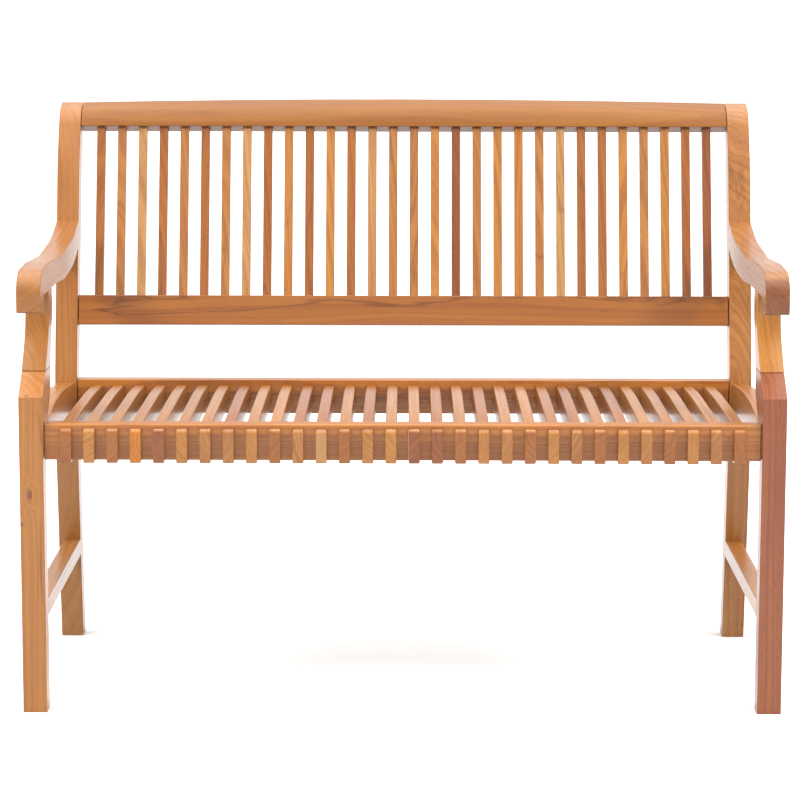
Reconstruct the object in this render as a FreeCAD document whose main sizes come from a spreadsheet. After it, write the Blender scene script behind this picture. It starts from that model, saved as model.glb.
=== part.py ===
import FreeCAD, Part
import os
import re
import Sketcher

# Teak garden bench for two, with arms.  Millimetres, +Z up, the front faces -Y.
# Origin: the middle of the bench's width and depth, on the ground.
# Lengthways positions are counted from the front face of the front legs and moved
# to the origin by FRONT below.

SIZES = [
    ("overall_width", 1220, "over the outside of the legs"),
    ("seat_height", 471, "top of the front seat rail"),
    ("arm_height", 718, "crest of the armrest"),
    ("post_height", 947, "top of the rear posts"),
    ("seat_depth", 441, "front of the front legs to the knee of the rear posts"),
    # stock
    ("leg_width", 38.6, "legs, posts and arms, across the bench"),
    ("leg_depth", 36, "front leg, front to back"),
    ("post_depth", 42, "rear post, front to back"),
    ("foot_depth", 35, "rear post at the ground, front to back"),
    ("rail_thick", 28, "rails and stretchers"),
    ("arris", 1.5, "rounding of the long edges"),
    # rear posts
    ("foot_kick", 52, "rear foot behind the knee"),
    ("knee_drop", 41, "where the post changes direction, below the seat"),
    ("knee_radius", 560, "easing of the knee"),
    ("back_recline", 12, "lean of the back, degrees"),
    ("curl_drop", 106, "where the post starts to curl back, below its top"),
    ("curl_lean", 24, "lean of the curled top, degrees"),
    ("curl_radius", 300, "easing into the curl"),
    ("crest_radius", 58, "rounding over the top"),
    ("crest_drop", 4.6, "fall of the top towards the front"),
    ("post_top_depth", 39.4, "post top, front corner to back corner"),
    # front legs and arm supports
    ("slope_drop", 35, "where the leg face turns to the slope, below the joint"),
    ("scarf_rise", 78, "joint between leg and arm support, above the seat"),
    ("scarf_front", 43.5, "front of the joint behind the leg face"),
    ("scarf_back", 106, "back of the joint behind the leg face"),
    ("cove_drop", 103, "where the back of the leg starts to swell, below the joint"),
    ("cove_top_drop", 41, "where the swelling ends, below the joint"),
    ("cove_set", 5, "top of the swelling in front of the joint's back"),
    ("cove_radius", 60, "easing of the swelling, lower"),
    ("shoulder_radius", 28, "easing of the swelling, upper"),
    ("support_front", 98, "front of the support under the arm"),
    ("support_back", 140, "back of the support under the arm"),
    ("support_bend_front", 59.4, "front bend below the arm"),
    ("support_bend_back", 36, "back bend below the arm"),
    ("support_radius", 90, "easing of both bends"),
    # arms
    ("nose_reach", 4, "arm nose in front of the legs"),
    ("nose_drop", 69, "crest of the arm to the bottom of the nose"),
    ("nose_depth", 39, "nose front to back"),
    ("nose_radius", 40, "rounding over the front"),
    ("nose_fall", 4.5, "arm top at the nose below the crest"),
    ("nose_cove", 15, "hollow behind the nose"),
    ("nose_taper", 2, "nose deeper at its root than at its end"),
    ("nose_edge", 4, "rounding of the nose's lower edges"),
    ("arm_thick", 46, "crest of the arm to its underside"),
    ("arm_crest", 105, "crest position"),
    ("arm_dip", 176, "lowest part of the arm top, ahead of the knee"),
    ("arm_dip_fall", 8.5, "dip below the crest"),
    ("arm_rise", 11, "where the arm starts to climb to the post, ahead of the knee"),
    ("arm_rise_lift", 4, "arm top there above the crest"),
    ("arm_join_lift", 27, "arm top at the post above the crest"),
    ("arm_join_thick", 48, "arm at the post, measured upright"),
    ("arm_under_rise", 3, "where the underside starts to climb, ahead of the knee"),
    ("arm_under_lift", 4.5, "underside there above its flat part"),
    ("arm_belly", 131, "lowest part of the arm underside, ahead of the knee"),
    ("arm_belly_fall", 6, "belly below the flat underside"),
    ("arm_flat", 190, "end of the flat underside"),
    ("arm_sweep", 300, "easing of the arm curves"),
    # seat frame
    ("seat_rail_height", 58.5, "front seat rail"),
    ("rear_rail_height", 59.5, "rear seat rail"),
    ("rail_setback", 8, "front rail behind the leg face"),
    ("rear_rail_inset", 9, "rear seat rail behind the post's knee corner"),
    ("rail_round", 4, "rounding of the front rail's upper edge"),
    ("side_rail_drop", 59, "underside of the side rails below the seat"),
    ("side_rail_front", 22, "side rail top at the leg, below the seat"),
    ("side_rail_peak", 11, "peak of the side rail before easing, above the seat"),
    ("side_rail_peak_at", 186, "position of the peak, ahead of the knee"),
    ("side_rail_back", 7, "side rail top at the post, below the seat"),
    ("side_rail_radius", 880, "crown of the side rail"),
    ("stretcher_size", 28.5, "stretcher, both ways"),
    ("stretcher_top", 180.5, "top of the stretchers"),
    # seat slats
    ("slat_count", 30, "in the seat, and in the back"),
    ("seat_slat_width", 18, "seat slat across the bench"),
    ("seat_slat_edge", 27, "clear of the legs at each end"),
    ("slat_band", 7, "front rail left above the slat slots"),
    ("rear_band", 10, "rear rail left above the slat mortises"),
    ("slat_reach", 12, "slat ends in front of the front rail"),
    ("slat_tail", 5, "slat ends behind the rear rail"),
    ("slat_drop", 3, "slat underside below the front rail"),
    ("slat_heel", 10, "deep front of the slat, behind the front rail"),
    ("slat_heel_run", 60, "rise of the slat underside behind it, lengthways"),
    ("slat_heel_rise", 19, "rise of the slat underside behind it"),
    ("slat_heel_radius", 90, "easing into the level underside"),
    ("slat_crown", 1, "slat top below the front rail top"),
    ("slat_level", 120, "end of the level front of the slat"),
    ("slat_bend", 111, "where the slat falls more steeply, ahead of the knee"),
    ("slat_bend_fall", 3, "fall of the slat top there"),
    ("slat_sweep", 1600, "easing of the slat top"),
    ("slat_nose", 8, "rounding of the slat's front end"),
    ("slat_arris", 2, "rounding of the slat edges"),
    # back frame
    ("low_rail_rise", 145, "front upper edge of the lower back rail above the seat"),
    ("low_rail_height", 52, "lower back rail"),
    ("low_rail_inset", 3, "lower back rail behind the post face"),
    ("top_rail_height", 39, "front lower edge of the top rail below the post top"),
    ("top_rail_thick", 30, "top rail"),
    ("top_rail_crown", 6, "rise of the top rail's middle"),
    ("back_slat_width", 15.3, "back slat across the bench"),
    ("back_slat_depth", 14, "back slat front to back"),
    ("back_slat_edge", 28.5, "clear of the posts at each end"),
    ("back_slat_inset", 8, "slats behind the rails' front edges"),
    ("back_slat_tenon", 11, "slat ends let into the rails"),
    # joints
    ("tenon_thick", 10, "rail tenons"),
    ("tenon_length", 24, "cross rail tenons"),
    ("stub_length", 13, "side rail and stretcher tenons"),
    ("cross_tenon_height", 44, "seat rail tenons"),
    ("side_tenon_height", 24, "side rail, arm and support tenons"),
    ("tenon_haunch", 8, "rail edge to tenon edge"),
    ("tenon_root", 12, "tenon carried on into its own piece"),
    ("tenon_apart", 3, "wood between the tenons that meet in a post"),
    ("glue_gap", 0.1, "play of a tenon in its mortise"),
    ("shoulder_gap", 1.2, "open joint at each end of the rails across the bench"),
    ("pin_radius", 3, "wooden joint pins"),
    ("pin_length", 26, "wooden joint pins driven from behind"),
    ("pin_stop", 12.6, "wood left past the pins driven from the outer faces"),
    ("pin_inset", 8, "cross joint pins from the inner face of leg or post"),
    ("knee_ease", 7.7, "knee corner to the eased face"),
    ("dowel_radius", 5, "dowels between leg and arm support"),
    ("dowel_length", 44, "dowels between leg and arm support"),
    ("dowel_first", 74, "first dowel behind the leg face"),
    ("dowel_pitch", 18, "dowels apart"),
    ("nail_radius", 1, "headless nails through the rails into the slats"),
    ("nail_length", 30, "headless nails"),
    ("nail_set", 1.5, "nails punched below the rail"),
]

BACK_SLAT_GROUP = 5      # back slats kept together as one sub-part
ALONG_X = FreeCAD.Rotation(FreeCAD.Vector(0, 1, 0), 90)
ALONG_Y = FreeCAD.Rotation(FreeCAD.Vector(1, 0, 0), -90)
ALONG_Z = FreeCAD.Rotation()

doc = FreeCAD.newDocument("garden_bench")
sheet = doc.addObject("Spreadsheet::Sheet", "Sizes")
for row, (alias, size, note) in enumerate(SIZES, start=1):
    sheet.set(f"A{row}", note)
    sheet.set(f"B{row}", str(size))
    sheet.setAlias(f"B{row}", alias)
doc.recompute()
ALIASES = {alias for alias, size, note in SIZES}

nodes = []               # the finished sub-parts, in order


# ---------------------------------------------------------------- helpers

def sized(text):
    """An expression in plain size names, such as "leg_depth / 2", for the sheet's cells."""
    return re.sub(r"[a-z]\w*", lambda word: f"Sizes.{word[0]}" if word[0] in ALIASES else word[0], text)


def value(text):
    """The number that an expression in size names has now."""
    return float(sheet.evalExpression(sized(text)))


def bind(thing, **sizes):
    """Tie properties to expressions in size names."""
    for name, text in sizes.items():
        thing.setExpression(name, sized(text))


def locate(thing, x="0", y="0", z="0", turn=ALONG_Z):
    """Give an object its place, tied to the sheet."""
    thing.Placement = FreeCAD.Placement(FreeCAD.Vector(value(x), value(y), value(z)), turn)
    thing.setExpression("Placement.Base.x", sized(x))
    thing.setExpression("Placement.Base.y", sized(y))
    thing.setExpression("Placement.Base.z", sized(z))


def at_corner(before, corner, after, radius):
    """Tangent points, centre and turning sense of the arc that rounds a corner."""
    into = (corner - before).normalize()
    out = (after - corner).normalize()
    reach = radius / ((1 + into * out) / (1 - into * out)) ** 0.5
    start = corner - into * reach
    end = corner + out * reach
    left_turn = into.x * out.y - into.y * out.x > 0
    normal = FreeCAD.Vector(-into.y, into.x, 0) * (1 if left_turn else -1)
    return start, end, start + normal * radius, left_turn


def side_sketch(body, name, corners, x_offset="0"):
    """A closed outline in the YZ plane: corners of (y, z) or (y, z, radius of a tangent arc)."""
    sketch = body.newObject("Sketcher::SketchObject", name)
    plane = [f for f in body.Origin.OriginFeatures if f.Role == "YZ_Plane"][0]
    sketch.AttachmentSupport = [(plane, "")]
    sketch.MapMode = "FlatFace"
    sketch.AttachmentOffset = FreeCAD.Placement(FreeCAD.Vector(0, 0, value(x_offset)), ALONG_Z)
    sketch.setExpression("AttachmentOffset.Base.z", sized(x_offset))
    points = [FreeCAD.Vector(value(c[0]), value(c[1]), 0) for c in corners]
    count = len(corners)
    rounds = [
        at_corner(points[i - 1], points[i], points[(i + 1) % count], value(c[2])) if len(c) > 2 else None
        for i, c in enumerate(corners)
    ]
    starts = [r[1] if r else points[i] for i, r in enumerate(rounds)]
    ends = [r[0] if r else points[i] for i, r in enumerate(rounds)]
    for i in range(count):
        sketch.addGeometry(Part.LineSegment(starts[i], ends[(i + 1) % count]), False)
    for i, corner in enumerate(corners):
        line_in = (i - 1) % count
        if rounds[i] is None:
            sketch.addConstraint(Sketcher.Constraint("Coincident", line_in, 2, i, 1))
            fixed = (i, 1)
        else:
            fixed = add_round(sketch, points[i], rounds[i], line_in, i, corner[2])
        for kind, text in (("DistanceX", corner[0]), ("DistanceY", corner[1])):
            index = sketch.addConstraint(Sketcher.Constraint(kind, -1, 1, *fixed, value(text)))
            sketch.setExpression(f"Constraints[{index}]", sized(text))
    return sketch


def add_round(sketch, point, arc, line_in, line_out, radius):
    """The arc at one corner, its radius tied to the sheet; returns the corner's own point."""
    start, end, centre, left_turn = arc
    circle = Part.Circle(centre, FreeCAD.Vector(0, 0, 1), value(radius))
    first, last = (start, end) if left_turn else (end, start)
    piece = Part.ArcOfCircle(circle, circle.parameter(first), circle.parameter(last))
    arc_id = sketch.addGeometry(piece, False)
    corner_id = sketch.addGeometry(Part.Point(point), True)
    arc_start, arc_end = (1, 2) if left_turn else (2, 1)
    sketch.addConstraint(Sketcher.Constraint("Tangent", line_in, 2, arc_id, arc_start))
    sketch.addConstraint(Sketcher.Constraint("Tangent", line_out, 1, arc_id, arc_end))
    sketch.addConstraint(Sketcher.Constraint("PointOnObject", corner_id, 1, line_in))
    sketch.addConstraint(Sketcher.Constraint("PointOnObject", corner_id, 1, line_out))
    index = sketch.addConstraint(Sketcher.Constraint("Radius", arc_id, value(radius)))
    sketch.setExpression(f"Constraints[{index}]", sized(radius))
    return corner_id, 1


def board(name, corners, x, width, edge="arris", short="0"):
    """A piece sawn to a side outline, width across the bench, cut short at both ends, its edges rounded."""
    body = doc.addObject("PartDesign::Body", name)
    body.AllowCompound = True
    locate(body, x=x, y=FRONT)
    pad = body.newObject("PartDesign::Pad", name + "_pad")
    pad.Profile = side_sketch(body, name + "_outline", corners, short)
    bind(pad, Length=f"{width} - 2 * {short}")
    rounding = body.newObject("PartDesign::Fillet", name + "_edges")
    rounding.Base = (pad, [])
    rounding.UseAllEdges = True
    bind(rounding, Radius=edge)
    body.Tip = rounding
    return body


def slot_row(body, name, corners, first_x, width, pitch):
    """Slots with a side outline, cut across a rail body and repeated for every slat."""
    pocket = body.newObject("PartDesign::Pocket", name)
    pocket.Profile = side_sketch(body, name + "_outline", corners, first_x)
    pocket.Reversed = True
    bind(pocket, Length=width)
    row = body.newObject("PartDesign::LinearPattern", name + "_row")
    row.Originals = [pocket]
    axis = [f for f in body.Origin.OriginFeatures if f.Role == "X_Axis"][0]
    row.Direction = (axis, [""])
    bind(row, Length=f"({pitch}) * (slat_count - 1)", Occurrences="slat_count")
    body.Tip = row


def block(name, x, y, z, length, width, height):
    """A rectangular block from its lowest corner."""
    box = doc.addObject("Part::Box", name)
    bind(box, Length=length, Width=width, Height=height)
    locate(box, x, f"{FRONT} + {y}", z)
    return box


def tenon(name, x, y, z, length, width, height):
    """A tenon, and the mortise cut for it."""
    peg = block(name + "_tenon", x, y, z, length, width, height)
    grown = [f"{lowest} - glue_gap" for lowest in (x, y, z)]
    sides = [f"{size} + 2 * glue_gap" for size in (length, width, height)]
    return peg, block(name + "_mortise", *grown, *sides)


def pin(name, x, y, z, turn=ALONG_X, radius="pin_radius", length="pin_length"):
    """A round pin, dowel or nail, lengthways from its start."""
    cylinder = doc.addObject("Part::Cylinder", name)
    bind(cylinder, Radius=radius, Height=length)
    locate(cylinder, x, f"{FRONT} + {y}", z, turn)
    return cylinder


def joined(name, pieces):
    """Solids that are one piece of wood."""
    whole = doc.addObject("Part::MultiFuse", name)
    whole.Shapes = pieces
    return whole


def cut(name, base, tools):
    """A piece with its mortises and pin holes cut."""
    tool = tools[0]
    if len(tools) > 1:
        tool = doc.addObject("Part::Compound", name + "_tools")
        tool.Links = tools
    result = doc.addObject("Part::Cut", name)
    result.Base = base
    result.Tool = tool
    return result


def mirrored(name, source):
    """The same piece on the right-hand side."""
    copy = doc.addObject("Part::Mirroring", name)
    copy.Source = source
    copy.Normal = FreeCAD.Vector(1, 0, 0)
    return copy


def node(label, feature):
    """Name a finished sub-part."""
    feature.Label = label
    nodes.append(feature)


def group(label, pieces):
    """Identical pieces as one sub-part of separate solids."""
    compound = doc.addObject("Part::Compound", label + "_group")
    compound.Links = pieces
    node(label, compound)


# ---------------------------------------------------------------- lines the pieces share

OUTER = "(overall_width / 2)"
INNER = "(overall_width / 2 - leg_width)"
LEAN = "tan(back_recline)"
KNEE_Y = "seat_depth"
KNEE_Z = "(seat_height - knee_drop)"
CURL_Z = "(post_height - curl_drop)"
FOOT_Y = "(seat_depth + foot_kick)"
CURL_Y = f"({KNEE_Y} + ({CURL_Z} - {KNEE_Z}) * {LEAN})"
CREST_Z = "(post_height - crest_drop)"
CREST_Y = f"({CURL_Y} + ({CREST_Z} - {CURL_Z}) * tan(curl_lean))"
POST_TOP_Y = f"({CREST_Y} + post_top_depth)"
FRONT = f"((nose_reach - {POST_TOP_Y}) / 2)"            # front leg face, from the origin


def recline_y(height):
    """Front face of the leaning part of the post at a height."""
    return f"({KNEE_Y} + ({height} - {KNEE_Z}) * {LEAN})"


def foot_y(height):
    """Front face of the lower part of the post at a height."""
    return f"({FOOT_Y} - ({height}) * foot_kick / {KNEE_Z})"


def curl_y(height):
    """Front face of the curled top of the post at a height."""
    return f"({CURL_Y} + ({height} - {CURL_Z}) * tan(curl_lean))"


# ---------------------------------------------------------------- outlines, front to back and up

rear_post_outline = [
    (FOOT_Y, "0"),
    (KNEE_Y, KNEE_Z, "knee_radius"),
    (CURL_Y, CURL_Z, "curl_radius"),
    (CREST_Y, CREST_Z, "crest_radius"),
    (POST_TOP_Y, "post_height"),
    (f"{CURL_Y} + post_depth", CURL_Z, "curl_radius"),
    (f"{KNEE_Y} + post_depth", KNEE_Z, "knee_radius"),
    (f"{FOOT_Y} + foot_depth", "0"),
]

SCARF_Z = "(seat_height + scarf_rise)"
front_leg_outline = [
    ("0", "0"),
    ("0", f"{SCARF_Z} - slope_drop"),
    ("scarf_front", SCARF_Z),
    ("scarf_back", SCARF_Z),
    ("scarf_back - cove_set", f"{SCARF_Z} - cove_top_drop", "shoulder_radius"),
    ("leg_depth", f"{SCARF_Z} - cove_drop", "cove_radius"),
    ("leg_depth", "0"),
]

ARM_BASE = "(arm_height - arm_thick)"
arm_support_outline = [
    ("scarf_front", SCARF_Z),
    ("support_front", f"{ARM_BASE} - support_bend_front", "support_radius"),
    ("support_front", ARM_BASE),
    ("support_back", ARM_BASE),
    ("support_back", f"{ARM_BASE} - support_bend_back", "support_radius"),
    ("scarf_back", SCARF_Z),
]

ARM_JOIN_TOP = "(arm_height + arm_join_lift)"
ARM_JOIN_BASE = "(arm_height + arm_join_lift - arm_join_thick)"
NOSE_BASE = "(arm_height - nose_drop)"
arm_outline = [
    ("-nose_reach", NOSE_BASE, "nose_edge"),
    ("-nose_reach", "arm_height - nose_fall", "nose_radius"),
    ("arm_crest", "arm_height", "arm_sweep"),
    (f"{KNEE_Y} - arm_dip", "arm_height - arm_dip_fall", "arm_sweep"),
    (f"{KNEE_Y} - arm_rise", "arm_height + arm_rise_lift", "arm_sweep"),
    (recline_y(ARM_JOIN_TOP), ARM_JOIN_TOP),
    (recline_y(ARM_JOIN_BASE), ARM_JOIN_BASE),
    (f"{KNEE_Y} - arm_under_rise", f"{ARM_BASE} + arm_under_lift", "arm_sweep"),
    (f"{KNEE_Y} - arm_belly", f"{ARM_BASE} - arm_belly_fall", "arm_sweep"),
    ("arm_flat", ARM_BASE, "arm_sweep"),
    ("nose_depth - nose_reach + nose_taper", ARM_BASE, "nose_cove"),
    ("nose_depth - nose_reach", NOSE_BASE, "nose_edge"),
]

PAST_POST = "(seat_depth + post_depth / 2)"
SIDE_RAIL_BASE = "(seat_height - side_rail_drop)"
side_rail_outline = [
    ("leg_depth / 2", SIDE_RAIL_BASE),
    ("leg_depth / 2", "seat_height - side_rail_front"),
    (f"{KNEE_Y} - side_rail_peak_at", "seat_height + side_rail_peak", "side_rail_radius"),
    (PAST_POST, "seat_height - side_rail_back"),
    (PAST_POST, SIDE_RAIL_BASE),
]

STRETCHER_BASE = "(stretcher_top - stretcher_size)"
stretcher_outline = [
    ("leg_depth", STRETCHER_BASE),
    ("leg_depth", "stretcher_top"),
    (foot_y("stretcher_top"), "stretcher_top"),
    (foot_y(STRETCHER_BASE), STRETCHER_BASE),
]

RAIL_BACK = "(rail_setback + rail_thick)"
SEAT_BASE = "(seat_height - seat_rail_height)"
front_rail_outline = [
    ("rail_setback", SEAT_BASE),
    ("rail_setback", "seat_height", "rail_round"),
    (RAIL_BACK, "seat_height"),
    (RAIL_BACK, SEAT_BASE),
]

REAR_RAIL_Y = "(seat_depth + rear_rail_inset)"
REAR_RAIL_BASE = "(seat_height - rear_rail_height)"
rear_rail_outline = [
    (REAR_RAIL_Y, REAR_RAIL_BASE),
    (REAR_RAIL_Y, "seat_height"),
    (f"{REAR_RAIL_Y} + rail_thick", "seat_height"),
    (f"{REAR_RAIL_Y} + rail_thick", REAR_RAIL_BASE),
]


def leaning(y, z, thick, height, lean):
    """A rectangle leaning back by an angle, from its front lower corner."""
    along = (f"sin({lean})", f"cos({lean})")
    across = (f"cos({lean})", f"-sin({lean})")
    return [
        (y, z),
        (f"{y} + {height} * {along[0]}", f"{z} + {height} * {along[1]}"),
        (f"{y} + {height} * {along[0]} + {thick} * {across[0]}",
         f"{z} + {height} * {along[1]} + {thick} * {across[1]}"),
        (f"{y} + {thick} * {across[0]}", f"{z} + {thick} * {across[1]}"),
    ]


LOW_RAIL_TOP = "(seat_height + low_rail_rise)"
LOW_RAIL_Y = f"({recline_y(LOW_RAIL_TOP)} + low_rail_inset)"
low_rail_outline = leaning(
    f"({LOW_RAIL_Y} - low_rail_height * sin(back_recline))",
    f"({LOW_RAIL_TOP} - low_rail_height * cos(back_recline))",
    "rail_thick", "low_rail_height", "back_recline")

TOP_RAIL_BASE = "(post_height - top_rail_height)"
TOP_RAIL_Y = curl_y(TOP_RAIL_BASE)
TOP_RAIL_BACK_Y = f"({TOP_RAIL_Y} + top_rail_thick * cos(curl_lean))"
TOP_RAIL_BACK_Z = f"({TOP_RAIL_BASE} - top_rail_thick * sin(curl_lean))"


def top_rail_outline(rise):
    """Section of the top rail where its top is raised above the posts."""
    back_edge_y = f"{TOP_RAIL_BACK_Y} + (post_height - {TOP_RAIL_BACK_Z}) * tan(curl_lean)"
    return [
        (TOP_RAIL_Y, TOP_RAIL_BASE, "arris"),
        (CREST_Y, f"{CREST_Z} + {rise}", "crest_radius"),
        (back_edge_y, f"post_height + {rise}", "arris"),
        (TOP_RAIL_BACK_Y, TOP_RAIL_BACK_Z, "arris"),
    ]


# back slats run straight from the top of the lower rail to the underside of the top rail
SLAT_LOW_Y = f"({LOW_RAIL_Y} + back_slat_inset * cos(back_recline))"
SLAT_LOW_Z = f"({LOW_RAIL_TOP} - back_slat_inset * sin(back_recline))"
SLAT_HIGH_Y = f"({TOP_RAIL_Y} + back_slat_inset * cos(curl_lean))"
SLAT_HIGH_Z = f"({TOP_RAIL_BASE} - back_slat_inset * sin(curl_lean))"
SLAT_LEAN = f"atan(({SLAT_HIGH_Y} - {SLAT_LOW_Y}) / ({SLAT_HIGH_Z} - {SLAT_LOW_Z}))"
SLAT_RUN = f"(({SLAT_HIGH_Z} - {SLAT_LOW_Z}) / cos({SLAT_LEAN}) + 2 * back_slat_tenon)"
back_slat_outline = leaning(
    f"({SLAT_LOW_Y} - back_slat_tenon * sin({SLAT_LEAN}))",
    f"({SLAT_LOW_Z} - back_slat_tenon * cos({SLAT_LEAN}))",
    "back_slat_depth", SLAT_RUN, SLAT_LEAN)

BAND_BASE = "(seat_height - slat_band)"
SLAT_TOP = "(seat_height - slat_crown)"
SLAT_BASE = f"({SEAT_BASE} - slat_drop)"
SLAT_UNDER = f"({SLAT_BASE} + slat_heel_rise)"
REAR_BAND_BASE = "(seat_height - rear_band)"
SLAT_END = f"({REAR_RAIL_Y} + rail_thick + slat_tail)"
seat_slat_outline = [
    ("rail_setback - slat_reach", SLAT_BASE),
    ("rail_setback - slat_reach", BAND_BASE, "slat_nose"),
    (f"{RAIL_BACK} - slat_band - slat_arris", BAND_BASE),
    (f"{RAIL_BACK} - slat_arris", SLAT_TOP),
    ("slat_level", SLAT_TOP, "slat_sweep"),
    (f"{KNEE_Y} - slat_bend", f"{SLAT_TOP} - slat_bend_fall", "slat_sweep"),
    (REAR_RAIL_Y, REAR_BAND_BASE),
    (SLAT_END, REAR_BAND_BASE),
    (SLAT_END, SLAT_UNDER),
    (f"{RAIL_BACK} + slat_heel + slat_heel_run", SLAT_UNDER, "slat_heel_radius"),
    (f"{RAIL_BACK} + slat_heel", SLAT_BASE),
]
slat_notch_outline = [
    ("0", BAND_BASE),
    ("0", "seat_height"),
    (RAIL_BACK, "seat_height"),
    (RAIL_BACK, BAND_BASE),
]
front_slot_outline = [
    ("0", "0"),
    ("0", BAND_BASE),
    (f"{RAIL_BACK} + arris", BAND_BASE),
    (f"{RAIL_BACK} + arris", "0"),
]
rear_slot_outline = [
    (f"({REAR_RAIL_Y} - arris)", SLAT_UNDER),
    (f"({REAR_RAIL_Y} - arris)", REAR_BAND_BASE),
    (SLAT_END, REAR_BAND_BASE),
    (SLAT_END, SLAT_UNDER),
]

# rows of slats
SEAT_FIRST_X = f"(seat_slat_edge - {INNER})"
SEAT_PITCH = f"((2 * {INNER} - 2 * seat_slat_edge - seat_slat_width) / (slat_count - 1))"
BACK_FIRST_X = f"(back_slat_edge - {INNER})"
BACK_PITCH = f"((2 * {INNER} - 2 * back_slat_edge - back_slat_width) / (slat_count - 1))"


# ---------------------------------------------------------------- joints of the left side

CENTRE_X = f"((leg_width - tenon_thick) / 2 - {OUTER})"
SIDE_TENON_Z = f"({SIDE_RAIL_BASE} + tenon_haunch)"
SIDE_SIZE = ("tenon_thick", "stub_length + tenon_root", "side_tenon_height")
rail_front_tenon = tenon("rail_front", CENTRE_X, "leg_depth - stub_length", SIDE_TENON_Z, *SIDE_SIZE)
rail_rear_tenon = tenon("rail_rear", CENTRE_X, f"{REAR_RAIL_Y} - tenon_root", SIDE_TENON_Z, *SIDE_SIZE)

STRETCHER_X = f"(-{INNER} - (stretcher_size + tenon_thick) / 2)"
STRETCHER_TENON_Z = f"({STRETCHER_BASE} + tenon_haunch)"
STRETCHER_BACK = foot_y(f"({STRETCHER_BASE} + stretcher_size / 2)")
STRETCHER_TENON = ("tenon_thick", "stub_length + tenon_root", "stretcher_size - 2 * tenon_haunch")
stretcher_front_tenon = tenon(
    "stretcher_front", STRETCHER_X, "leg_depth - stub_length", STRETCHER_TENON_Z, *STRETCHER_TENON)
stretcher_rear_tenon = tenon(
    "stretcher_rear", STRETCHER_X, f"{STRETCHER_BACK} - tenon_root", STRETCHER_TENON_Z, *STRETCHER_TENON)

ARM_TENON_Z = f"({ARM_JOIN_BASE} + (arm_join_thick - side_tenon_height) / 2)"
ARM_TENON_MID = f"({ARM_TENON_Z} + side_tenon_height / 2)"
arm_tenon = tenon(
    "arm", CENTRE_X, f"{recline_y(ARM_TENON_MID)} - tenon_root", ARM_TENON_Z,
    "tenon_thick", "tenon_length + tenon_root", "side_tenon_height")
support_tenon = tenon(
    "support", CENTRE_X, "(support_front + support_back - side_tenon_height) / 2",
    f"({ARM_BASE} - tenon_root)", "tenon_thick", "side_tenon_height", "tenon_length + tenon_root")


def cross_tenons(name, y, z, height):
    """The tenons at both ends of a rail that runs across the bench, left one first."""
    length = "tenon_length + tenon_root"
    left = tenon(name + "_left", f"(-{INNER} - tenon_length)", y, z, length, "tenon_thick", height)
    right = block(name + "_right_tenon", f"({INNER} - tenon_root)", y, z, length, "tenon_thick", height)
    return left[0], right, left[1]


front_rail_tenons = cross_tenons(
    "front_rail", "(rail_setback + arris)", f"({SEAT_BASE} + tenon_haunch)", "cross_tenon_height")
rear_rail_tenons = cross_tenons(
    "rear_rail", f"({REAR_RAIL_Y} + stub_length + tenon_apart)", f"({REAR_RAIL_BASE} + tenon_haunch)",
    "cross_tenon_height")
LOW_TENON_Z = f"({LOW_RAIL_TOP} - low_rail_height + tenon_haunch)"
LOW_MID_Y = recline_y(f"({LOW_RAIL_TOP} - low_rail_height / 2)")
low_rail_tenons = cross_tenons(
    "low_rail", f"({LOW_MID_Y} + low_rail_inset + (rail_thick - tenon_thick) / 2)", LOW_TENON_Z,
    "low_rail_height - 2 * tenon_haunch")
TOP_TENON_Z = f"({TOP_RAIL_BASE} + tenon_haunch / 2)"
TOP_TENON_Y = f"({TOP_RAIL_Y} + top_rail_thick / 2)"
top_rail_tenons = cross_tenons("top_rail", TOP_TENON_Y, TOP_TENON_Z, "side_tenon_height - tenon_haunch")

# pins driven from the outer faces, along X
SIDE_PIN_MID = f"({SIDE_TENON_Z} + side_tenon_height / 2)"
STRETCHER_MID = f"({STRETCHER_BASE} + stretcher_size / 2)"
side_pin_places = {
    "leg": [("leg_depth - stub_length / 2", SIDE_PIN_MID), ("leg_depth - stub_length / 2", STRETCHER_MID)],
    "post": [(f"{REAR_RAIL_Y} + stub_length / 2", SIDE_PIN_MID),
             (f"{STRETCHER_BACK} + stub_length / 2", STRETCHER_MID),
             (f"{recline_y(ARM_TENON_MID)} + tenon_length / 2", ARM_TENON_MID)],
    "arm": [("(support_front + support_back) / 2", f"{ARM_BASE} + tenon_length / 2")],
}
side_pins = {
    piece: [
        pin(f"{piece}_side_pin_{i}", f"-{OUTER}", y, z, length="leg_width - pin_stop")
        for i, (y, z) in enumerate(places)
    ]
    for piece, places in side_pin_places.items()
}

# pins driven from behind, along Y
CROSS_PIN_X = f"(-{INNER} - pin_inset)"
post_back_pin_places = [
    ("seat_depth + post_depth + knee_ease - pin_length",
     f"{REAR_RAIL_BASE} + tenon_haunch + cross_tenon_height / 2"),
    (f"{recline_y(LOW_TENON_Z)} + post_depth / cos(back_recline) - pin_length + tenon_haunch / 2",
     f"{LOW_RAIL_TOP} - low_rail_height / 2"),
    (f"{TOP_TENON_Y} + arris", f"{TOP_TENON_Z} + tenon_haunch"),
]
leg_back_pin = pin("leg_back_pin", CROSS_PIN_X, "leg_depth - pin_length", SIDE_PIN_MID, ALONG_Y)
post_back_pins = [
    pin(f"post_back_pin_{i}", CROSS_PIN_X, y, z, ALONG_Y) for i, (y, z) in enumerate(post_back_pin_places)
]

support_dowels = [
    pin(f"support_dowel_{i}", f"(leg_width / 2 - {OUTER})", f"dowel_first + {i} * dowel_pitch",
        f"{SCARF_Z} - dowel_length / 2", ALONG_Z, "dowel_radius", "dowel_length")
    for i in range(2)
]

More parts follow.
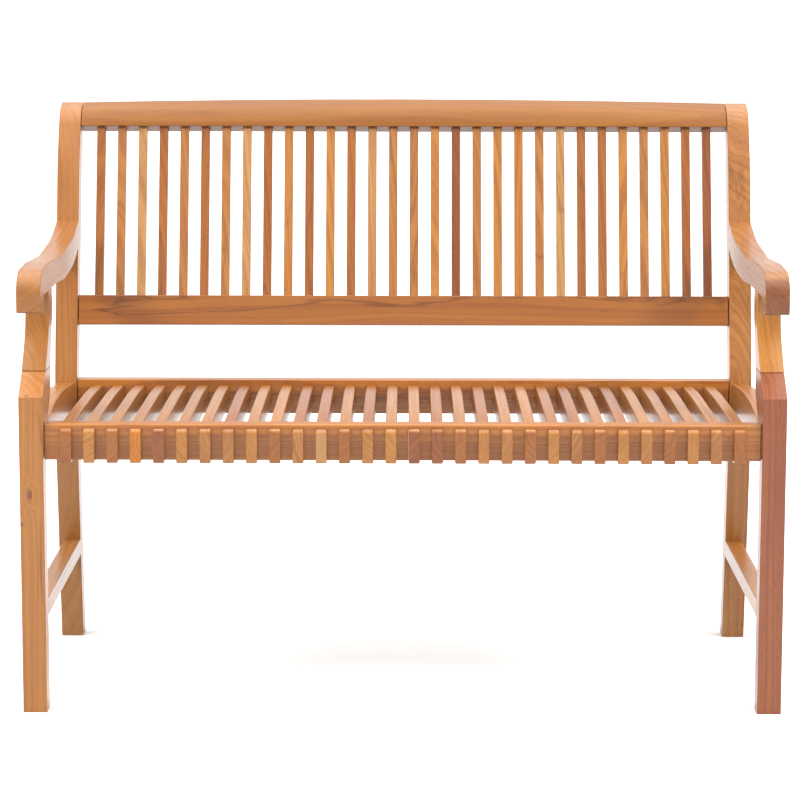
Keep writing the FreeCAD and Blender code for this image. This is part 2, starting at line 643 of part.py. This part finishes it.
# nails through the rails into every seat slat
nail_rows = {"front": "rail_setback + rail_thick / 2",
             "rear": f"{REAR_RAIL_Y} + rail_thick / 2"}
SLATS = int(value("slat_count"))
nails = {
    name: [
        pin(f"{name}_nail_{i}", f"{SEAT_FIRST_X} + seat_slat_width / 2 + {i} * {SEAT_PITCH}", y,
            "seat_height - nail_set - nail_length", ALONG_Z, "nail_radius", "nail_length")
        for i in range(SLATS)
    ]
    for name, y in nail_rows.items()
}


# ---------------------------------------------------------------- side frames

leg_wood = board("leg_wood", front_leg_outline, f"-{OUTER}", "leg_width")
post_wood = board("post_wood", rear_post_outline, f"-{OUTER}", "leg_width")
support_wood = board("support_wood", arm_support_outline, f"-{OUTER}", "leg_width")
arm_wood = board("arm_wood", arm_outline, f"-{OUTER}", "leg_width")
SIDE_RAIL_X = f"((leg_width - rail_thick) / 2 - {OUTER})"
side_rail_wood = board("side_rail_wood", side_rail_outline, SIDE_RAIL_X, "rail_thick")
stretcher_wood = board(
    "stretcher_wood", stretcher_outline, f"(-{INNER} - stretcher_size)", "stretcher_size")

leg_mortises = [rail_front_tenon[1], stretcher_front_tenon[1], front_rail_tenons[2]]
post_mortises = [rail_rear_tenon[1], stretcher_rear_tenon[1], arm_tenon[1]]
post_mortises += [tenons[2] for tenons in (rear_rail_tenons, low_rail_tenons, top_rail_tenons)]

left_side = {
    "front_leg": cut("leg_cut", leg_wood, leg_mortises + side_pins["leg"] + [leg_back_pin] + support_dowels),
    "rear_post": cut("post_cut", post_wood, post_mortises + side_pins["post"] + post_back_pins),
    "arm_support": cut(
        "support_cut", joined("support_whole", [support_wood, support_tenon[0]]),
        support_dowels + side_pins["arm"]),
    "armrest": cut(
        "arm_cut", joined("arm_whole", [arm_wood, arm_tenon[0]]),
        [support_tenon[1]] + side_pins["arm"] + side_pins["post"]),
    "stretcher": cut(
        "stretcher_cut",
        joined("stretcher_whole", [stretcher_wood, stretcher_front_tenon[0], stretcher_rear_tenon[0]]),
        side_pins["leg"] + side_pins["post"]),
}
# the side rail's shoulders are scribed to the leg and the post before its tenons are left on
side_rail_scribed = cut("side_rail_scribed", side_rail_wood, [leg_wood, post_wood])
left_side["side_seat_rail"] = cut(
    "side_rail_cut",
    joined("side_rail_whole", [side_rail_scribed, rail_front_tenon[0], rail_rear_tenon[0]]),
    side_pins["leg"] + side_pins["post"])

for piece, feature in left_side.items():
    node(piece + "_left", feature)
    node(piece + "_right", mirrored(feature.Name + "_right", feature))


# ---------------------------------------------------------------- rails across the bench

def cross_rail(label, body, tenons, pins):
    """Finish a rail: tenons on both ends, and its pin holes."""
    whole = joined(label + "_whole", [body, tenons[0], tenons[1]])
    pins_right = [mirrored(f"{label}_{p.Name}_right", p) for p in pins]
    node(label, cut(label + "_cut", whole, pins + pins_right))


SLOT_WIDTH = "seat_slat_width + 2 * glue_gap"
SLOT_FIRST_X = f"{SEAT_FIRST_X} - glue_gap + {INNER}"
BACK_SLOT_WIDTH = "back_slat_width + 2 * glue_gap"
BACK_SLOT_FIRST_X = f"{BACK_FIRST_X} - glue_gap + {INNER}"

SPAN = (f"-{INNER}", f"2 * {INNER}", "arris", "shoulder_gap")
front_rail_wood = board("front_rail_wood", front_rail_outline, *SPAN)
slot_row(front_rail_wood, "front_slots", front_slot_outline, SLOT_FIRST_X, SLOT_WIDTH, SEAT_PITCH)
rear_rail_wood = board("rear_rail_wood", rear_rail_outline, *SPAN)
slot_row(rear_rail_wood, "rear_slots", rear_slot_outline, SLOT_FIRST_X, SLOT_WIDTH, SEAT_PITCH)
low_rail_wood = board("low_rail_wood", low_rail_outline, *SPAN)
slot_row(low_rail_wood, "low_mortises", back_slat_outline, BACK_SLOT_FIRST_X, BACK_SLOT_WIDTH, BACK_PITCH)

# the top rail rises to its middle, so it is lofted through three sections
top_rail_wood = doc.addObject("PartDesign::Body", "top_rail_wood")
locate(top_rail_wood, x=f"-{INNER}", y=FRONT)
top_rail_loft = top_rail_wood.newObject("PartDesign::AdditiveLoft", "top_rail_loft")
top_rail_loft.Profile = side_sketch(top_rail_wood, "top_rail_end", top_rail_outline("0"), "shoulder_gap")
top_rail_loft.Sections = [
    side_sketch(top_rail_wood, "top_rail_middle", top_rail_outline("top_rail_crown"), INNER),
    side_sketch(top_rail_wood, "top_rail_far_end", top_rail_outline("0"), f"2 * {INNER} - shoulder_gap"),
]
top_rail_wood.Tip = top_rail_loft
slot_row(top_rail_wood, "top_mortises", back_slat_outline, BACK_SLOT_FIRST_X, BACK_SLOT_WIDTH, BACK_PITCH)

cross_rail("front_seat_rail", front_rail_wood, front_rail_tenons, [leg_back_pin] + nails["front"])
cross_rail("rear_seat_rail", rear_rail_wood, rear_rail_tenons, [post_back_pins[0]] + nails["rear"])
cross_rail("lower_back_rail", low_rail_wood, low_rail_tenons, [post_back_pins[1]])
cross_rail("top_rail", top_rail_wood, top_rail_tenons, [post_back_pins[2]])


# ---------------------------------------------------------------- slats

for i in range(SLATS):
    slat = board(
        f"seat_slat_wood_{i + 1:02d}", seat_slat_outline, f"{SEAT_FIRST_X} + {i} * {SEAT_PITCH}",
        "seat_slat_width", "slat_arris")
    notch = slat.newObject("PartDesign::Pocket", f"seat_slat_notch_{i + 1:02d}")
    notch.Profile = side_sketch(slat, f"seat_slat_notch_outline_{i + 1:02d}", slat_notch_outline)
    notch.Reversed = True
    bind(notch, Length="seat_slat_width")
    slat.Tip = notch
    nailed = cut(f"seat_slat_cut_{i + 1:02d}", slat, [nails["front"][i], nails["rear"][i]])
    node(f"seat_slat_{i + 1:02d}", nailed)

back_slats = []
for i in range(SLATS):
    place = f"{BACK_FIRST_X} + {i} * {BACK_PITCH}"
    back_slats.append(board(f"back_slat_wood_{i + 1:02d}", back_slat_outline, place, "back_slat_width"))
for first in range(0, SLATS, BACK_SLAT_GROUP):
    last = min(first + BACK_SLAT_GROUP, SLATS)
    group(f"back_slats_{first + 1:02d}_{last:02d}", back_slats[first:last])


# ---------------------------------------------------------------- pins, dowels and nails

def both_sides(pieces):
    """Fasteners of the left side and their twins on the right."""
    return pieces + [mirrored(piece.Name + "_right", piece) for piece in pieces]


group("side_joint_pins", both_sides(side_pins["leg"] + side_pins["post"] + side_pins["arm"]))
group("cross_joint_pins", both_sides([leg_back_pin] + post_back_pins))
group("arm_support_dowels", both_sides(support_dowels))
group("seat_slat_nails", nails["front"] + nails["rear"])


# ---------------------------------------------------------------- check and write

doc.recompute()
failed = [o.Name for o in doc.Objects if "Invalid" in o.State or "Error" in o.State]
failed += [f.Label for f in nodes if f.Shape.isNull() or not f.Shape.isValid()]
if failed:
    raise SystemExit("failed: " + ", ".join(failed))
os.makedirs("parts", exist_ok=True)
for feature in nodes:
    feature.Shape.exportStep(f"parts/{feature.Label}.step")
print(len(nodes), "sub-parts written")
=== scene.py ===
import math
import random

import bpy
from mathutils import Euler, Matrix, Vector


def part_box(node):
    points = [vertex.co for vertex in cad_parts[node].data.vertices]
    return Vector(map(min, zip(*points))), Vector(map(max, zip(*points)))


# Teak garden bench: looks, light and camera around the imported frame.  Metres, +Z up, the front faces -Y.

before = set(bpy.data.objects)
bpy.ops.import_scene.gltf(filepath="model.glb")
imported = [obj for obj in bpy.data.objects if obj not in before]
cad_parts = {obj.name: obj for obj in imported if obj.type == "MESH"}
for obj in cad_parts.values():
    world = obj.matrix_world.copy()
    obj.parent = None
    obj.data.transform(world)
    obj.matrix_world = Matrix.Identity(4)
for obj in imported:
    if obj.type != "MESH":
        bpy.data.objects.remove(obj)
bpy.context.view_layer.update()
random.seed(12)

SLATS = 30
SLAT_GROUP = 5           # back slats in one node

# Displayed colour of each tone of varnished teak in the studio's light.
TONES = {
    "pale": (0.92, 0.70, 0.44),
    "golden": (0.90, 0.615, 0.27),
    "orange": (0.88, 0.565, 0.20),
    "bright": (0.95, 0.59, 0.09),
    "tan": (0.86, 0.585, 0.29),
    "arm": (0.81, 0.54, 0.25),
    "brown": (0.79, 0.485, 0.18),
    "crest": (0.74, 0.465, 0.12),
    "red": (0.745, 0.415, 0.20),
    "dark": (0.70, 0.40, 0.17),
    "nose": (0.66, 0.39, 0.19),
}
LETTERS = {"p": "pale", "g": "golden", "o": "orange", "t": "tan", "b": "brown", "d": "dark", "y": "bright"}

# One letter a slat, from left to right.
BACK_TONES = "btpbt" "btpbg" "bgbpt" "tgdtg" "otpbb" "gtgbd"
SEAT_TONES = "ttttt" "ttbtg" "bbtbt" "gbtbt" "gbbtb" "gttgt"
SEAT_END_TONES = "bgbyd" "gttgb" "tpbgg" "ddbgt" "bgtbg" "tbgtb"

EXPOSURE = 0.54          # share of the displayed colour that is the wood's own


def linear(colour, share=EXPOSURE):
    """A displayed colour as a linear one, with alpha."""
    return (*[share * (c / 12.92 if c <= 0.04045 else ((c + 0.055) / 1.055) ** 2.4) for c in colour], 1.0)


# ---------------------------------------------------------------- node helpers

def plug(tree, socket, value):
    """Link a socket, or set it to a constant."""
    if isinstance(value, bpy.types.NodeSocket):
        tree.links.new(value, socket)
    elif value is not None:
        socket.default_value = value


def add(tree, kind, inputs=(), output=0, **settings):
    """A node with its settings and inputs (by name or number); returns one output."""
    made = tree.nodes.new(kind)
    for key, setting in settings.items():
        setattr(made, key, setting)
    for key, value in dict(inputs).items():
        plug(tree, made.inputs[key], value)
    return made.outputs[output]


def calc(tree, operation, *values):
    """A sum on numbers."""
    return add(tree, "ShaderNodeMath", dict(enumerate(values)), operation=operation)


def vector(tree, operation, *values, output=0):
    """A sum on vectors; output 1 is a number, as for a length."""
    return add(tree, "ShaderNodeVectorMath", dict(enumerate(values)), output, operation=operation)


def separate(tree, place, axis):
    """One coordinate of a vector."""
    return add(tree, "ShaderNodeSeparateXYZ", {0: place}, axis)


def ramp(tree, value, low, high, to_low=0.0, to_high=1.0, kind="SMOOTHSTEP"):
    """Step of a value from one range to another, smooth unless another kind is asked for."""
    inputs = {0: value, 1: low, 2: high, 3: to_low, 4: to_high}
    return add(tree, "ShaderNodeMapRange", inputs, interpolation_type=kind, clamp=True)


def noise(tree, place, scale, detail, roughness=0.5, seed=0.0, distortion=0.0):
    """Noise that differs with the seed."""
    inputs = {"Vector": place, "W": seed, "Scale": scale, "Detail": detail,
              "Roughness": roughness, "Distortion": distortion}
    return add(tree, "ShaderNodeTexNoise", inputs, noise_dimensions="4D")


def blend(tree, share, first, second, mode="MIX"):
    """A mix of two colours; inputs 6 and 7 and output 2 are the node's colour sockets."""
    return add(tree, "ShaderNodeMix", {0: share, 6: first, 7: second}, 2, data_type="RGBA", blend_type=mode)


def shade(tree, colour, amount, tint):
    """Multiply a colour by a tint, by an amount from 0 to 1."""
    return blend(tree, amount, colour, (*tint, 1.0), "MULTIPLY")


def new_material(name):
    """An empty material, its node tree and its surface shader."""
    material = bpy.data.materials.new(name)
    material.use_nodes = True
    tree = material.node_tree
    return material, tree, tree.nodes["Principled BSDF"]


# ---------------------------------------------------------------- the figure of the wood

# Noise scales are in features per metre.
RING_SCALE = 190
FIBRE_SCALE = (950, 950, 26)
PORE_SCALE = (1500, 1500, 75)
FLECK_SCALE = (330, 330, 75)
GRAIN_STRETCH = (1, 1, 0.11)     # the figure is drawn out along the grain
FIGURE_INPUTS = {"Position": "NodeSocketVector", "Seed": "NodeSocketFloat", "Bulge": "NodeSocketFloat"}
FIGURE_OUTPUTS = ("Rings", "Fibre", "Pores", "Flecks", "Streaks", "Blotches", "Warmth")


def figure_group():
    """What every piece of teak shares.

    Position is in metres from the heart of the log, Z along the grain.  Seed sets one board apart from the
    next, and each kind of mark adds its own number to it.  Bulge pushes the rings outward, in metres.
    """
    tree = bpy.data.node_groups.new("teak_figure", "ShaderNodeTree")
    for name, kind in FIGURE_INPUTS.items():
        tree.interface.new_socket(name, in_out="INPUT", socket_type=kind)
    for name in FIGURE_OUTPUTS:
        tree.interface.new_socket(name, in_out="OUTPUT", socket_type="NodeSocketFloat")
    given = tree.nodes.new("NodeGroupInput").outputs
    place, seed, bulge = given["Position"], given["Seed"], given["Bulge"]
    squeezed = vector(tree, "MULTIPLY", place, GRAIN_STRETCH)

    def wander(scale, reach):
        """A slow drift of the rings, in metres."""
        drift = noise(tree, squeezed, scale, 2, 0.5, seed)
        return calc(tree, "MULTIPLY", calc(tree, "SUBTRACT", drift, 0.5), reach)

    def fine(stretch, detail, roughness):
        """Fine noise, drawn out along the grain."""
        return noise(tree, vector(tree, "MULTIPLY", place, stretch), 1, detail, roughness, seed)

    def coarse(scale, detail, roughness, offset, distortion=0.0):
        """Coarse noise with a seed of its own."""
        return noise(tree, squeezed, scale, detail, roughness, calc(tree, "ADD", seed, offset), distortion)

    radial = vector(tree, "LENGTH", vector(tree, "MULTIPLY", place, (1, 1, 0)), output=1)
    depth = calc(tree, "ADD", radial, wander(14, 0.034))
    depth = calc(tree, "ADD", depth, wander(90, 0.0035))
    depth = calc(tree, "ADD", depth, bulge)
    ring_place = calc(tree, "MULTIPLY_ADD", depth, RING_SCALE, seed)
    bands = add(tree, "ShaderNodeTexNoise", {"W": ring_place, "Scale": 1.0, "Detail": 3.0, "Roughness": 0.6},
                noise_dimensions="1D")
    rings = ramp(tree, bands, 0.36, 0.66)

    fibre = fine(FIBRE_SCALE, 2, 0.6)
    pores = ramp(tree, fine(PORE_SCALE, 1, 0.5), 0.60, 0.70)
    pores = calc(tree, "MULTIPLY", pores, ramp(tree, rings, 0.2, 0.9, 0.35, 1.0))
    flecks = ramp(tree, fine(FLECK_SCALE, 3, 0.65), 0.56, 0.66)
    flecks = calc(tree, "MULTIPLY", flecks, ramp(tree, coarse(30, 2, 0.5, 5), 0.42, 0.62))
    contour = calc(tree, "SUBTRACT", coarse(24, 3, 0.45, 11, distortion=0.4), 0.5)
    streaks = ramp(tree, calc(tree, "ABSOLUTE", contour), 0.0, 0.022, 1.0, 0.0)
    streaks = calc(tree, "MULTIPLY", streaks, ramp(tree, coarse(13, 1, 0.5, 23), 0.50, 0.60))
    blotches = ramp(tree, coarse(30, 2, 0.55, 31), 0.36, 0.66)
    warmth = ramp(tree, coarse(10, 1, 0.5, 43), 0.40, 0.64)

    result = tree.nodes.new("NodeGroupOutput")
    for name, output in zip(FIGURE_OUTPUTS, (rings, fibre, pores, flecks, streaks, blotches, warmth)):
        plug(tree, result.inputs[name], output)
    return tree


FIGURE = figure_group()

# The turn that brings each grain direction onto Z.
ALONG = {
    "x": Euler((0, math.radians(-90), 0)),
    "y": Euler((math.radians(90), 0, 0)),
    "z": Euler((0, 0, 0)),
}
AXES = "xyz"

# What each kind of mark multiplies the wood's colour by, at full strength.
TINTS = {
    "Warmth": (0.90, 0.74, 0.60),
    "Blotches": (0.86, 0.78, 0.70),
    "Rings": (0.62, 0.46, 0.34),
    "Fibre": (0.86, 0.80, 0.74),
    "Pores": (0.55, 0.42, 0.34),
    "Flecks": (0.36, 0.26, 0.22),
    "Streaks": (0.22, 0.16, 0.15),
}
KNOT_TINT = (0.42, 0.28, 0.22)
BLOTCH_STRENGTH = 0.7
PORE_STRENGTH = 0.5

# From one slat of a shared material to the next: where it lies in the log, and its seed.
SLAT_STEP = (0.013, 0.037, 0.61)
SLAT_SEED_STEP = 3.7


def knot_fields(tree, here, knots):
    """How far the rings bulge round the knots, and how dark their hearts are."""
    bulge, heart = 0.0, 0.0
    for centre, size in knots:
        offset = vector(tree, "DIVIDE", vector(tree, "SUBTRACT", here, centre), size)
        away = vector(tree, "LENGTH", offset, output=1)
        bulge = calc(tree, "ADD", bulge, ramp(tree, away, 0.0, 2.2, 0.024, 0.0))
        heart = calc(tree, "MAXIMUM", heart, ramp(tree, away, 0.15, 1.0, 1.0, 0.0))
    return bulge, heart


def teak(name, tone=None, grain="z", end=None, heart=(0.07, 0.05), tilt=0.0, rings=0.5, flecks=0.15,
         streaks=0.0, warm=0.4, gloss=0.6, middle=(0, 0, 0), row=None, knots=()):
    """Varnished teak.

    tone is the colour of the long faces, and end that of the end grain where it differs.  row takes the place
    of tone for slats that share a material: the low and high X of the row, and each slat's tone.  heart is
    where the log's heart lies from the middle of the piece, across the grain, and tilt turns the grain, in
    degrees.  rings, flecks, streaks and warm are the strength of each kind of mark, and gloss that of the
    varnish.
    """
    material, tree, surface = new_material(name)
    seed = random.uniform(0, 40)

    here = add(tree, "ShaderNodeTexCoord", output="Object")
    centred = vector(tree, "SUBTRACT", here, tuple(middle))
    log_place = (*heart, random.uniform(-1, 1))
    turned = add(tree, "ShaderNodeMapping",
                 {"Vector": centred, "Rotation": ALONG[grain], "Location": log_place})
    if tilt:
        lean = Euler((math.radians(tilt), 0, 0))
        turned = add(tree, "ShaderNodeMapping", {"Vector": turned, "Rotation": lean})
    if row:
        low, high, tones = row
        share = ramp(tree, separate(tree, here, 0), low, high, kind="LINEAR")
        index = calc(tree, "FLOOR", calc(tree, "MULTIPLY", share, len(tones)))
        step = add(tree, "ShaderNodeVectorMath", {0: SLAT_STEP, "Scale": index}, operation="SCALE")
        turned = vector(tree, "ADD", turned, step)
        seed = calc(tree, "MULTIPLY_ADD", index, SLAT_SEED_STEP, seed)
        base = tone_steps(tree, share, [linear(TONES[t]) for t in tones])
    else:
        base = linear(TONES[tone])
    figure = add(tree, "ShaderNodeGroup", node_tree=FIGURE).node
    plug(tree, figure.inputs["Position"], turned)
    plug(tree, figure.inputs["Seed"], seed)
    bulge, dark_heart = knot_fields(tree, here, knots)
    plug(tree, figure.inputs["Bulge"], bulge)
    part = figure.outputs

    colour = base
    if end:
        normal = add(tree, "ShaderNodeNewGeometry", output="Normal")
        facing = calc(tree, "ABSOLUTE", separate(tree, normal, AXES.index(grain)))
        colour = blend(tree, ramp(tree, facing, 0.55, 0.8), base, linear(TONES[end]))
    strengths = {"Warmth": warm, "Blotches": BLOTCH_STRENGTH, "Rings": rings, "Pores": PORE_STRENGTH,
                 "Flecks": flecks, "Streaks": streaks}
    amounts = {mark: calc(tree, "MULTIPLY", part[mark], strength) for mark, strength in strengths.items()}
    amounts["Fibre"] = ramp(tree, part["Fibre"], 0.3, 0.75, 0.0, 0.6)
    for mark, tint in TINTS.items():
        colour = shade(tree, colour, amounts[mark], tint)
    if knots:
        colour = shade(tree, colour, dark_heart, KNOT_TINT)
    plug(tree, surface.inputs["Base Color"], colour)
    plug(tree, surface.inputs["Roughness"], ramp(tree, part["Fibre"], 0.3, 0.8, 0.40, 0.52))
    surface.inputs["Specular IOR Level"].default_value = 0.35
    surface.inputs["Coat Weight"].default_value = gloss
    surface.inputs["Coat Roughness"].default_value = 0.24
    surface.inputs["Coat IOR"].default_value = 1.5
    height = calc(tree, "SUBTRACT", calc(tree, "MULTIPLY", part["Fibre"], 0.4), part["Pores"])
    bump = add(tree, "ShaderNodeBump", {"Strength": 0.30, "Distance": 0.0004, "Height": height})
    plug(tree, surface.inputs["Normal"], bump)
    return material


def tone_steps(tree, share, colours):
    """One flat colour for each equal step of a share."""
    made = tree.nodes.new("ShaderNodeValToRGB")
    steps = made.color_ramp
    steps.interpolation = "CONSTANT"
    while len(steps.elements) < len(colours):
        steps.elements.new(0.5)
    for i, colour in enumerate(colours):
        steps.elements[i].position = i / len(colours)
        steps.elements[i].color = colour
    plug(tree, made.inputs[0], share)
    return made.outputs[0]


def steel(name):
    """Brushed steel of the nails."""
    material, tree, surface = new_material(name)
    here = add(tree, "ShaderNodeTexCoord", output="Object")
    marks = noise(tree, vector(tree, "MULTIPLY", here, (3000, 3000, 200)), 1, 2)
    plug(tree, surface.inputs["Roughness"], ramp(tree, marks, 0.3, 0.7, 0.28, 0.45))
    plug(tree, surface.inputs["Base Color"], blend(tree, marks, (0.45, 0.45, 0.44, 1), (0.62, 0.61, 0.60, 1)))
    surface.inputs["Metallic"].default_value = 1.0
    bump = add(tree, "ShaderNodeBump", {"Strength": 0.2, "Distance": 0.0001, "Height": marks})
    plug(tree, surface.inputs["Normal"], bump)
    return material


# ---------------------------------------------------------------- materials of the pieces

def cover(node, material):
    """Give a CAD node its one material."""
    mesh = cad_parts[node].data
    mesh.materials.clear()
    mesh.materials.append(material)


# Knots: the centre of each, and half its size each way.
LEG_KNOTS = (
    ((-0.594, -0.304, 0.357), (0.007, 0.012, 0.016)),
    ((-0.607, -0.304, 0.309), (0.004, 0.010, 0.006)),
    ((-0.597, -0.304, 0.517), (0.006, 0.008, 0.004)),
)
RAIL_KNOTS = (
    ((0.360, 0.146, 0.452), (0.008, 0.010, 0.004)),
)

# How each piece of the frame differs from plain teak with its grain upright.
FRAME_PIECES = {
    "front_leg_left": dict(tone="golden", heart=(0.05, 0.08), flecks=0.2, streaks=0.5, knots=LEG_KNOTS),
    "front_leg_right": dict(tone="red", heart=(0.09, 0.05), flecks=0.75, rings=0.6),
    "rear_post_left": dict(tone="tan", heart=(0.08, 0.06), tilt=9, rings=0.35, flecks=0.1),
    "rear_post_right": dict(tone="tan", heart=(0.06, 0.09), tilt=-7, flecks=0.7, streaks=0.3),
    "arm_support_left": dict(tone="arm", heart=(0.04, 0.05), rings=0.4, warm=0.1),
    "arm_support_right": dict(tone="golden", heart=(0.11, 0.03), rings=0.4, warm=0.1),
    "armrest_left": dict(tone="arm", grain="y", heart=(0.05, 0.06), rings=0.4, end="arm"),
    "armrest_right": dict(tone="arm", grain="y", heart=(0.05, -0.07), rings=0.6, flecks=0.9, end="nose"),
    "side_seat_rail_left": dict(tone="golden", grain="y", heart=(0.05, 0.06)),
    "side_seat_rail_right": dict(tone="tan", grain="y", heart=(0.07, 0.04)),
    "stretcher_left": dict(tone="tan", grain="y", heart=(0.04, 0.06), flecks=0.3),
    "stretcher_right": dict(tone="golden", grain="y", heart=(0.06, 0.05), rings=0.6, streaks=0.5),
    "front_seat_rail": dict(tone="orange", grain="x", rings=0.6, flecks=0.1),
    "rear_seat_rail": dict(tone="orange", grain="x", heart=(0.05, 0.08), rings=0.6, streaks=0.4,
                           knots=RAIL_KNOTS),
    "lower_back_rail": dict(tone="brown", grain="x", heart=(0.05, 0.07), rings=0.45, streaks=0.5, warm=0.6),
    "top_rail": dict(tone="crest", grain="x", heart=(0.06, 0.09), flecks=0.1, warm=0.1, gloss=0.25),
}


def middle_of(node):
    """The middle of a node's box."""
    low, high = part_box(node)
    return (low + high) / 2


for node, look in FRAME_PIECES.items():
    cover(node, teak("wood_" + node, middle=middle_of(node), **look))

for i in range(SLATS):
    node = f"seat_slat_{i + 1:02d}"
    look = {
        "tone": LETTERS[SEAT_TONES[i]],
        "end": LETTERS[SEAT_END_TONES[i]],
        "heart": (random.uniform(0.02, 0.09) * random.choice((-1, 1)), random.uniform(0.01, 0.06)),
        "rings": random.uniform(0.35, 0.65),
        "flecks": random.uniform(0.1, 0.4),
        "warm": random.uniform(0.1, 0.5),
    }
    cover(node, teak("wood_" + node, grain="y", middle=middle_of(node), **look))

for first in range(0, SLATS, SLAT_GROUP):
    last = first + SLAT_GROUP
    node = f"back_slats_{first + 1:02d}_{last:02d}"
    low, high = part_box(node)
    margin = (high.x - low.x) / (SLAT_GROUP - 1) / 2
    row = (low.x - margin, high.x + margin, [LETTERS[t] for t in BACK_TONES[first:last]])
    cover(node, teak("wood_" + node, row=row, heart=(0.05, 0.06), tilt=9, middle=middle_of(node),
                     rings=0.55, flecks=0.25, streaks=0.35, warm=0.45))

for node, grain in (("side_joint_pins", "x"), ("cross_joint_pins", "y"), ("arm_support_dowels", "y")):
    cover(node, teak("wood_" + node, "dark", grain=grain, end="dark"))
cover("seat_slat_nails", steel("nail_steel"))


# ---------------------------------------------------------------- floor, light and camera

FLOOR_SIZE = 120.0


def floor():
    """A plain white floor that fills the view and gives the bench no light of its own."""
    bpy.ops.mesh.primitive_plane_add(size=FLOOR_SIZE, location=(0, FLOOR_SIZE / 4, 0))
    plane = bpy.context.object
    plane.name = "floor"
    material, tree, surface = new_material("floor_white")
    surface.inputs["Base Color"].default_value = (0.9, 0.9, 0.9, 1)
    surface.inputs["Roughness"].default_value = 0.9
    surface.inputs["Specular IOR Level"].default_value = 0.2
    plane.data.materials.append(material)
    plane.visible_diffuse = False


def sky(level, overhead, behind_camera, below):
    """A studio that is brightest overhead and dimmer behind the camera and underfoot."""
    world = bpy.data.worlds.new("studio")
    world.use_nodes = True
    tree = world.node_tree
    way = add(tree, "ShaderNodeTexCoord", output="Generated")
    ahead = separate(tree, way, 1)
    up = separate(tree, way, 2)
    around = ramp(tree, ahead, -0.5, 0.9, behind_camera, level)
    top = calc(tree, "MULTIPLY", ramp(tree, up, 0.55, 1.0), overhead)
    above = calc(tree, "ADD", around, top)
    strength = add(tree, "ShaderNodeMix", {0: ramp(tree, up, -0.12, -0.03), 2: below, 3: above})
    background = tree.nodes["Background"]
    background.inputs["Color"].default_value = (1, 1, 1, 1)
    plug(tree, background.inputs["Strength"], strength)
    bpy.context.scene.world = world


SOFTBOX_WIDTH = 0.8
SOFTBOX_POWER = 135
SOFTBOX_AIM = Vector((0, 0, 0.5))


def softbox(name, place):
    """A square lamp aimed at the seat, which doesn't mirror in the varnish."""
    data = bpy.data.lights.new(name, "AREA")
    data.shape = "RECTANGLE"
    data.size = data.size_y = SOFTBOX_WIDTH
    data.energy = SOFTBOX_POWER
    lamp = bpy.data.objects.new(name, data)
    lamp.visible_glossy = False
    lamp.location = place
    lamp.rotation_euler = (SOFTBOX_AIM - Vector(place)).to_track_quat("-Z", "Y").to_euler()
    bpy.context.scene.collection.objects.link(lamp)


def camera(place, yaw, pitch, roll, focal, shift):
    """A camera that looks along +Y, turned right by yaw, down by pitch and over by roll, in radians."""
    data = bpy.data.cameras.new("camera")
    data.sensor_width = 36.0
    data.lens = focal
    data.shift_y = shift
    data.clip_end = 200
    thing = bpy.data.objects.new("camera", data)
    ahead = Vector((math.sin(yaw) * math.cos(pitch), math.cos(yaw) * math.cos(pitch), -math.sin(pitch)))
    level = Vector((math.cos(yaw), -math.sin(yaw), 0))
    up = level.cross(ahead)
    right = level * math.cos(roll) + up * math.sin(roll)
    up = right.cross(ahead)
    thing.matrix_world = Matrix.Translation(place) @ Matrix((right, up, -ahead)).transposed().to_4x4()
    bpy.context.scene.collection.objects.link(thing)
    bpy.context.scene.camera = thing


floor()
sky(level=1.04, overhead=2.2, behind_camera=1.0, below=0.55)
softbox("key_left", (-3.2, -2.1, 3.2))
softbox("key_right", (3.2, -2.1, 3.2))
camera(place=(0.0075, -4.5599, 1.2307), yaw=-0.00281, pitch=0.13798, roll=0.00189, focal=122.51, shift=-0.1)
bpy.context.scene.view_settings.view_transform = "Standard"
